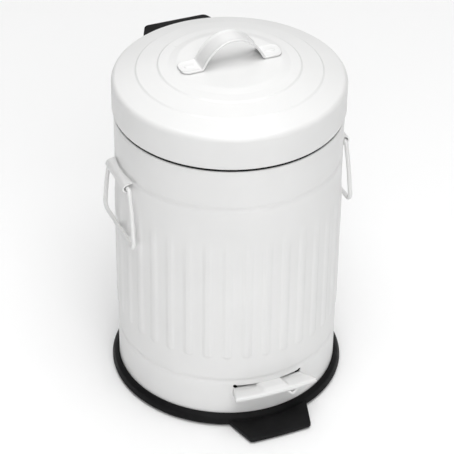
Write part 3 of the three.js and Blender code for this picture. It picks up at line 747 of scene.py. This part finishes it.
def strap_stations(path):
    """Points along the strap with their distance from the nearer end, closer at the ends."""
    lengths = [0.0]
    for a, b in zip(path, path[1:]):
        lengths.append(lengths[-1] + (b - a).length)
    total = lengths[-1]
    cuts = (0.0, 0.3, 0.9, 1.8, 3.0, 4.4, 6.0)
    first = (path[1] - path[0]).normalized()
    last = (path[-2] - path[-1]).normalized()
    stations = [(path[0] + first * cut, cut) for cut in cuts]
    for point, run in list(zip(path, lengths))[1:-1]:
        stations.append((point, min(run, total - run)))
    stations += [(path[-1] + last * cut, cut) for cut in cuts[::-1]]
    return stations


def lid_handle():
    """The strap, its section swept along the path with rounded corners on the feet."""
    stations = strap_stations(strap_path())
    straight = STRAP_HALF - STRAP_CORNER
    rings = []
    for i, (point, run) in enumerate(stations):
        before = stations[max(i - 1, 0)][0]
        after = stations[min(i + 1, len(stations) - 1)][0]
        along = (after - before).normalized()
        up = Vector((0, 1, 0)).cross(along).normalized()
        missing = max(STRAP_CORNER - run, 0.0)
        wide = straight + math.sqrt(STRAP_CORNER ** 2 - missing ** 2)
        rings.append([point + Vector((0, y, 0)) + up * lift for y, lift in strap_section(wide)])
    verts, faces = loop_grid(rings)
    return make("strap_handle", verts, faces, PAINT, "lid", ["lid_handle"], crease=50)


def handle_rivets():
    """Low oval rivet heads on the strap's feet, with the shank and tail under the lid."""
    outline = fillet(
        [(0, 318), (3, 318), (3, 320.6), (1.9, 320.6), (1.9, 323.6), (3.4, 323.6), (3.2, 324.5), (0, 325.0)],
        [0, 0.4, 0.2, 0, 0, 0.3, 0.8, 0], 4,
    )
    for side, name in ((-1, "left"), (1, "right")):
        verts, faces = revolve(outline, 48)
        moved = []
        for x, y, z in verts:
            wide, deep = (1.35, 0.72) if z > 323.5 else (1.0, 1.0)
            moved.append((side * RIVET_X + x * wide, y * deep, z))
        nodes = [f"handle_rivet_{name}"]
        make(f"strap_rivet_{name}", moved, faces, PAINT, "lid", nodes, crease=50)


# ----------------------------------------------------------------------- pedal
def pad_height(x, y):
    """Top surface of the pedal: rises to the lip, with a raised middle rib."""
    rise = PAD_RISE * min(max((-y - 100.0) / 18.0, 0.0), 1.0)
    rib = PAD_RIB * ease((PAD_RIB_HALF - abs(x)) / 3.0) * ease((y + 119.0) / 7.0 + 0.1)
    return PAD_REAR_Z + rise + rib


def pad_section(half, skirt):
    """Across the pad: flat top, rounded bends and a side flange of the given depth."""
    bend = min(PAD_BEND, skirt)
    right = []
    for i in range(6):
        angle = math.pi / 2 * i / 5
        right.append((half - PAD_BEND * (1 - math.sin(angle)), bend * (1 - math.cos(angle))))
    for i in range(1, 4):
        right.append((half, bend + (skirt - bend) * i / 3))
    flat = [((half - PAD_BEND) * (i / 22 - 1), 0.0) for i in range(1, 44)]
    return [(-x, fall) for x, fall in right[::-1]] + flat + right


def pedal():
    """The pad: a bent sheet with its front lip and both sides turned down."""
    rows = [(-120.3, -3.6), (-120.4, -2.0), (-120.2, -0.9), (-119.6, -0.25)]
    rows += [(-118.8 + 1.5 * i, 0.0) for i in range(16)]
    verts = []
    for y, drop in rows:
        reach = min(max((-y - 98.0) / 20.0, 0.0), 1.0)
        half = PAD_ROOT + (PAD_TIP - PAD_ROOT) * reach
        section = pad_section(half, max(9.2 - 5.6 * reach + drop, 0.25))
        for x, fall in section:
            bow = 2.6 * (x / half) ** 2 * reach
            verts.append((x, y + bow, pad_height(x, max(y, -119.0)) + drop - fall))
    count = len(section)
    faces = []
    for j in range(len(rows) - 1):
        for i in range(count - 1):
            a = j * count + i
            faces.append((a, a + 1, a + count + 1, a + count))
    pad = make("pedal_pad", verts, faces, PAINT, "pedal", ["pedal_lever"], crease=60)
    if not any(face.normal.z > 0.5 for face in pad.data.polygons):
        pad.data.flip_normals()
    solid = pad.modifiers.new("sheet", "SOLIDIFY")
    solid.thickness = PAD_SHEET * MM
    solid.offset = -1.0
    return pad


def pedal_arm():
    """Channel lever behind the pad: web, two side flanges and the tab that lifts the rod."""
    web = [
        (-97.6, 40.3), (-94, 39.9), (-70, 37.9), (-20, 34.6), (86, 28.6),
        (86, 27.0), (-20, 33.0), (-70, 36.3), (-94, 38.5), (-97.6, 39.0),
    ]
    arm = raw(*prism(web, "x", -28, 28))
    plan = fillet(
        [(-28, -97.6), (28, -97.6), (28, -86), (12.5, -40),
         (12.5, 86.5), (-12.5, 86.5), (-12.5, -40), (-28, -86)],
        [0, 0, 6, 14, 3, 3, 14, 6], 6,
    )
    combine(arm, [raw(*prism(plan, "z", 0, 60))], "INTERSECT")
    flange = [
        (-60, 36.6), (-20, 33.8), (10, 32.0), (84, 27.8), (84, 24.5),
        (30, 22.5), (-6, 21.3), (-24, 22.8), (-60, 33.5),
    ]
    tab = fillet([(80, 28.0), (98.5, 28.0), (98.5, 19.5), (88, 19.5), (80, 24)], [0, 2, 2, 2, 0], 4)
    parts = [
        raw(*prism(flange, "x", 10.9, 12.5)),
        raw(*prism(flange, "x", -12.5, -10.9)),
        raw(*prism(tab, "x", -1.25, 1.25)),
    ]
    combine(arm, parts, "UNION")
    eye = fillet([(93.4, 26.4), (98.1, 26.4), (98.1, 21.6), (93.4, 21.6)], 2.2, 5)
    axle_hole = rod((-30, PIVOT_Y, PIVOT_Z), (30, PIVOT_Y, PIVOT_Z), 2.58)
    combine(arm, [axle_hole, raw(*prism(eye, "x", -5, 5))])
    return piece(arm, "pedal_lever_arm", PAINT, "pedal", crease=30)


def pedal_tab():
    """Small bent tongue that hangs below the lip."""
    outline = fillet(
        [(8.2, 43.6), (10.4, 43.6), (15.4, 38.6), (19.6, 43.6), (21.2, 43.6), (16.6, 36.6), (14.2, 36.6)],
        [0, 0, 1.2, 0, 0, 1.4, 1.4], 4,
    )
    tongue = raw(*prism(outline, "y", -119.4, -117.0))
    round_edges(tongue, 0.2, 40, segments=2, profile=0.6, clamp=True)
    return piece(tongue, "pedal_tongue", PAINT, "pedal")


def push_rod():
    """The wire from the lever's tab up to the lid leaf, with a short hook at each end."""
    upper_y, upper_z = ROD_TOP
    lower_y, lower_z = ROD_FOOT
    path = round_path(
        [(ROD_X, upper_y, upper_z), (ROD_X, upper_y, 258.5),
         (ROD_X, lower_y, 243), (ROD_X, lower_y, lower_z)],
        [6, 6],
    )
    wire = raw(*tube(path, ROD_R, (1, 0, 0)))
    hooks = [rod((ROD_X + 0.8, y, z), (-3.2, y, z), ROD_R - 0.05, 20) for y, z in (ROD_TOP, ROD_FOOT)]
    combine(wire, hooks, "UNION")
    return piece(wire, "lift_rod", STEEL, "rod", ["push_rod"], crease=40)


# ----------------------------------------------------------------------- grips
def roll(radius, start, sweep):
    """Points round the grip's axis in the X-Z plane, angles in degrees."""
    points = []
    for i in range(19):
        angle = math.radians(start + sweep * i / 18)
        points.append((GRIP_X + radius * math.cos(angle), GRIP_Z + radius * math.sin(angle)))
    return points


def grip_bracket(side, name):
    """Folded strip rolled over the wire, welded to the body along its top."""
    outline = [(96, GRIP_Z + 5.4), (100, GRIP_Z + 5.2)]
    outline += roll(HOOD_OUTER, 80, -190) + roll(HOOD_INNER, -110, 198)
    outline += [(100, GRIP_Z + 3.9), (96, GRIP_Z + 4.1)]
    hood = raw(*prism([(side * x, z) for x, z in outline], "y", -GRIP_HOOD, GRIP_HOOD))
    weld_r = BODY_R - 0.1
    combine(hood, [raw(*revolve([(0, 200), (weld_r, 200), (weld_r, 260), (0, 260)], 180))])
    nodes = [f"handle_bracket_{name}"]
    return piece(hood, f"grip_hood_{name}", PAINT, "base", nodes)


def wire_grip(side, name):
    """The wire loop, hanging and leaning slightly away from the body."""
    half = [(1.5, 0), (24.7, 0), (31.2, 20), (38.0, GRIP_DROP)]
    placed = []
    for y, drop in half:
        placed.append((side * (GRIP_X + GRIP_LEAN * drop / GRIP_DROP), y, GRIP_Z - drop))
    points = placed + [(x, -y, z) for x, y, z in placed[::-1]]
    path = round_path(points, [3, 18, 6, 6, 18, 3])
    verts, faces = tube(path, GRIP_WIRE_R, (GRIP_DROP, 0, side * GRIP_LEAN))
    nodes = [f"wire_handle_{name}"]
    return make(f"wire_loop_{name}", verts, faces, PAINT, f"{name}_grip", nodes, crease=50)


# ---------------------------------------------------------------------- bucket
def bucket():
    """The tapered tub and its flat rim in one, notched at the back for the lid's leaf."""
    outline = fillet(
        [(0, 47.5), (82.5, 47.5), (85.5, 50.5), (91.5, 270), (92.3, 274.3), (BUCKET_RIM_R, 274.3),
         (BUCKET_RIM_R, BUCKET_RIM_TOP), (90.9, BUCKET_RIM_TOP), (89.8, 270), (83.8, 51.5), (81.5, 49.5),
         (0, 49.5)],
        [0, 2, 2, 3, 1, 0.6, 0.9, 1.2, 3, 2, 2, 0], 5,
    )
    shell = raw(*revolve(outline, 160))
    bail_holes = rod((-100, 0, BAIL_Z), (100, 0, BAIL_Z), 1.9)
    combine(shell, [block((-27, 97.2, 270), (27, 110, 290)), bail_holes])
    nodes = ["inner_bucket", "bucket_rim"]
    return piece(shell, "waste_bucket", PLASTIC, "bucket", nodes)


def bail():
    """A wire half-hoop lying inside the rim, its straight ends through the tub's wall."""
    path = [Vector((-95.0, 0, BAIL_Z)), Vector((-88.4, 0, BAIL_Z))]
    for i in range(61):
        angle = math.radians(184 + 172 * i / 60)
        path.append(Vector((BAIL_R * math.cos(angle), BAIL_R * math.sin(angle), BAIL_Z)))
    path += [Vector((88.4, 0, BAIL_Z)), Vector((95.0, 0, BAIL_Z))]
    verts, faces = tube(path, BAIL_WIRE_R, (0, 0, 1), sides=16)
    return make("bucket_handle", verts, faces, STEEL, "bail", ["bucket_bail"], crease=50)


# ------------------------------------------------------------ carried-over CAD
def dress_frame():
    """The small CAD pieces stay. They get their material and softened edges."""
    finish = {"plated_steel": STEEL, "black_plastic": PLASTIC, "white_paint": PAINT, "black_rubber": RUBBER}
    slots = {entry["node"]: entry["material_slot"] for entry in frame["record"]["subparts"]}
    for name, obj in frame["nodes"].items():
        material = finish[slots[name]]
        obj.data.materials.clear()
        obj.data.materials.append(material)
        weld = obj.modifiers.new("weld", "WELD")
        weld.merge_threshold = 0.01 * MM
        bevel = obj.modifiers.new("bevel", "BEVEL")
        bevel.width = 0.15 * MM
        bevel.segments = 2
        bevel.limit_method = "ANGLE"
        bevel.angle_limit = math.radians(40)


# ------------------------------------------------------- floor, lights, camera
def floor():
    half = FLOOR_SIZE / 2
    corners = [(-half, -half, 0), (half, -half, 0), (half, half, 0), (-half, half, 0)]
    mesh = bpy.data.meshes.new("floor")
    mesh.from_pydata(corners, [], [(0, 1, 2, 3)])
    obj = bpy.data.objects.new("floor", mesh)
    bpy.context.scene.collection.objects.link(obj)
    n = Nodes("pale_floor")
    colour = n.ramp(n.noise(3.0), [(0.0, (0.97, 0.97, 0.97)), (1.0, (0.985, 0.985, 0.985))])
    n.link(colour, n.shader.inputs["Base Color"])
    n.shader.inputs["Roughness"].default_value = 0.9
    n.shader.inputs["Specular IOR Level"].default_value = 0.1
    mesh.materials.append(n.material)


def softbox(name, place, size, power):
    light = bpy.data.lights.new(name, "AREA")
    light.shape = "RECTANGLE"
    light.size = size[0]
    light.size_y = size[1]
    light.energy = power
    obj = bpy.data.objects.new(name, light)
    obj.location = place
    facing = Vector(SOFTBOX_AIM) - Vector(place)
    obj.rotation_euler = facing.to_track_quat("-Z", "Y").to_euler()
    bpy.context.scene.collection.objects.link(obj)


def world_fade(tree, place, direction, both_ways, limits, share):
    """A factor that falls from 1 to the share as the sky turns towards the direction."""
    along = tree.nodes.new("ShaderNodeVectorMath")
    along.operation = "DOT_PRODUCT"
    along.inputs[1].default_value = direction
    tree.links.new(place, along.inputs[0])
    lean = tree.nodes.new("ShaderNodeMath")
    lean.operation = "ABSOLUTE" if both_ways else "MAXIMUM"
    tree.links.new(along.outputs["Value"], lean.inputs[0])
    fade = tree.nodes.new("ShaderNodeMapRange")
    fade.inputs["From Min"].default_value = limits[0]
    fade.inputs["From Max"].default_value = limits[1]
    fade.inputs["To Min"].default_value = 1.0
    fade.inputs["To Max"].default_value = share
    tree.links.new(lean.outputs["Value"], fade.inputs["Value"])
    return fade.outputs["Result"]


def world_light():
    """White sky, darker towards the picture's sides and towards the back."""
    world = bpy.data.worlds.new("studio")
    bpy.context.scene.world = world
    world.use_nodes = True
    tree = world.node_tree
    background = tree.nodes["Background"]
    background.inputs["Color"].default_value = (1, 1, 1, 1)
    place = tree.nodes.new("ShaderNodeTexCoord").outputs["Generated"]
    turn = math.radians(CAMERA_AZIMUTH)
    across = (math.cos(turn), math.sin(turn), 0)
    ahead = (-math.sin(turn), math.cos(turn), 0)
    sides = tree.nodes.new("ShaderNodeMath")
    sides.operation = "MULTIPLY"
    sides.inputs[1].default_value = WORLD_STRENGTH
    tree.links.new(world_fade(tree, place, across, True, SIDES_FADE, WORLD_SIDES), sides.inputs[0])
    both = tree.nodes.new("ShaderNodeMath")
    both.operation = "MULTIPLY"
    tree.links.new(world_fade(tree, place, ahead, False, BACK_FADE, WORLD_BACK), both.inputs[0])
    tree.links.new(sides.outputs["Value"], both.inputs[1])
    tree.links.new(both.outputs["Value"], background.inputs["Strength"])


def lights():
    world_light()
    for name, place, size, power in SOFTBOXES:
        softbox(name, place, size, power)


def camera():
    turn = math.radians(CAMERA_AZIMUTH)
    lift = math.radians(CAMERA_ELEVATION)
    right = Vector((math.cos(turn), math.sin(turn), 0))
    ahead = Vector((-math.sin(turn) * math.cos(lift), math.cos(turn) * math.cos(lift), -math.sin(lift)))
    up = right.cross(ahead)
    aim = Vector((0, 0, CAMERA_AIM_Z)) + right * CAMERA_SIDE
    spot = aim - ahead * CAMERA_DISTANCE
    matrix = Matrix((right, up, -ahead)).transposed().to_4x4()
    matrix = matrix @ Matrix.Rotation(math.radians(CAMERA_ROLL), 4, "Z")
    matrix.translation = spot * MM
    data = bpy.data.cameras.new("camera")
    data.sensor_width = SENSOR
    data.lens = FOCAL
    data.clip_start = 0.05
    obj = bpy.data.objects.new("camera", data)
    obj.matrix_world = matrix
    bpy.context.scene.collection.objects.link(obj)
    bpy.context.scene.camera = obj


def look():
    scene = bpy.context.scene
    scene.view_settings.view_transform = "Standard"
    scene.view_settings.look = "None"
    scene.view_settings.exposure = 0.0


dress_frame()
body_shell()
base_ring()
foot_pads()
hinge_cover()
lid_shell()
lid_handle()
handle_rivets()
pedal()
pedal_arm()
pedal_tab()
push_rod()
for SIDE, NAME in ((-1, "left"), (1, "right")):
    grip_bracket(SIDE, NAME)
    wire_grip(SIDE, NAME)
bucket()
bail()
floor()
lights()
camera()
look()
